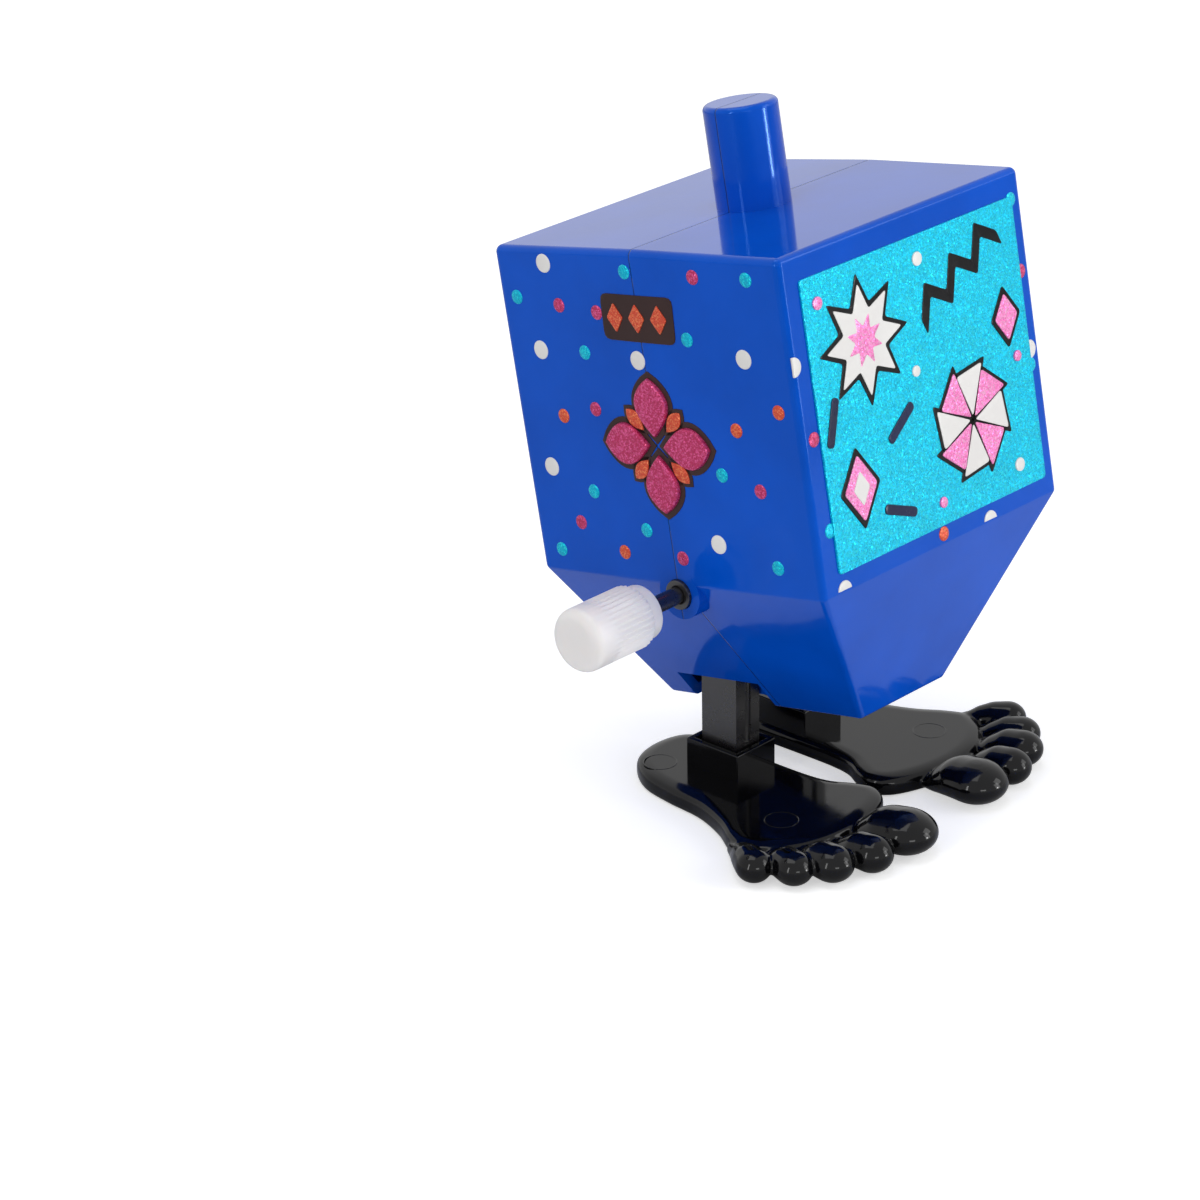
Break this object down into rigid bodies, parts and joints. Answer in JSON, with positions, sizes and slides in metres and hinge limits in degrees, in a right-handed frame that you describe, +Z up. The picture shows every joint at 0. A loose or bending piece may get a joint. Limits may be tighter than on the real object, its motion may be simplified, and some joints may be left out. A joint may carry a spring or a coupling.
{
  "type": "wind-up walking dreidel",
  "caption": "Spinning-top shaped body in two moulded shells on a handle, with a side winding knob and a clockwork movement that walks it on two flat feet.",
  "frame": {"origin": "middle of the assembly's outline on the floor that both feet stand on", "axes": "+Z up along the height, -Y out of the front with the toes, -X out of the side that carries the winding knob"},
  "size_m": [0.0614, 0.0507, 0.0768],
  "materials": {
    "shell": "glossy moulded royal blue",
    "knob": "satin white with fine ribs",
    "black_plastic": "satin black",
    "foot": "high gloss black",
    "movement_plastic": "natural acetal",
    "steel": "drawn steel"
  },
  "bodies": {
    "body": {"shell_front": "shell", "shell_back": "shell", "frame_right": "movement_plastic", "frame_left": "movement_plastic", "shaft_bush": "black_plastic", "mainspring": "steel", "second_arbor": "steel", "third_arbor": "steel", "escape_arbor": "steel", "pallet_arbor": "steel"},
    "crank": {"crank_axle": "steel", "crank_wheel": "movement_plastic", "crank_right": "movement_plastic", "crank_left": "movement_plastic", "crank_caps": "movement_plastic"},
    "winder": {"winding_shaft": "black_plastic", "winding_knob": "knob", "great_wheel": "movement_plastic", "ratchet_wheel": "steel", "click_spring": "steel"},
    "second": {"second_wheel": "movement_plastic"},
    "third": {"third_wheel": "movement_plastic"},
    "escape": {"escape_wheel": "movement_plastic"},
    "anchor": {"pallet": "movement_plastic"},
    "right_step": {"leg_right": "black_plastic", "foot_right": "foot"},
    "left_step": {"leg_left": "black_plastic", "foot_left": "foot"}
  },
  "joints": [
    {"name": "crank_turn", "type": "hinge", "parent": "body", "child": "crank", "pos_m": [0.00556, 0.00429, 0.02], "axis": [1, 0, 0], "continuous": true},
    {"name": "winder_turn", "type": "hinge", "parent": "body", "child": "winder", "pos_m": [0.00556, -0.00106, 0.02851], "axis": [1, 0, 0], "continuous": true},
    {"name": "second_turn", "type": "hinge", "parent": "body", "child": "second", "pos_m": [0.00556, 0.00851, 0.02772], "axis": [1, 0, 0], "continuous": true},
    {"name": "third_turn", "type": "hinge", "parent": "body", "child": "third", "pos_m": [0.00556, -0.00409, 0.0205], "axis": [1, 0, 0], "continuous": true},
    {"name": "escape_turn", "type": "hinge", "parent": "body", "child": "escape", "pos_m": [0.00556, -0.0103, 0.02616], "axis": [1, 0, 0], "continuous": true},
    {"name": "anchor_rock", "type": "hinge", "parent": "body", "child": "anchor", "pos_m": [0.00556, -0.0107, 0.03115], "axis": [1, 0, 0], "range_deg": [-8, 8]},
    {"name": "right_leg_pin", "type": "hinge", "parent": "crank", "child": "right_step", "pos_m": [-0.00049, 0.00349, 0.02], "axis": [1, 0, 0], "continuous": true},
    {"name": "left_leg_pin", "type": "hinge", "parent": "crank", "child": "left_step", "pos_m": [0.01161, 0.00509, 0.02], "axis": [1, 0, 0], "continuous": true}
  ],
  "couplings": [
    {"joint": "winder_turn", "follows": "crank_turn", "ratio": 0.125},
    {"joint": "second_turn", "follows": "crank_turn", "ratio": -0.375},
    {"joint": "third_turn", "follows": "crank_turn", "ratio": -3},
    {"joint": "escape_turn", "follows": "crank_turn", "ratio": 9},
    {"joint": "right_leg_pin", "follows": "crank_turn", "ratio": -1},
    {"joint": "left_leg_pin", "follows": "crank_turn", "ratio": -1}
  ]
}
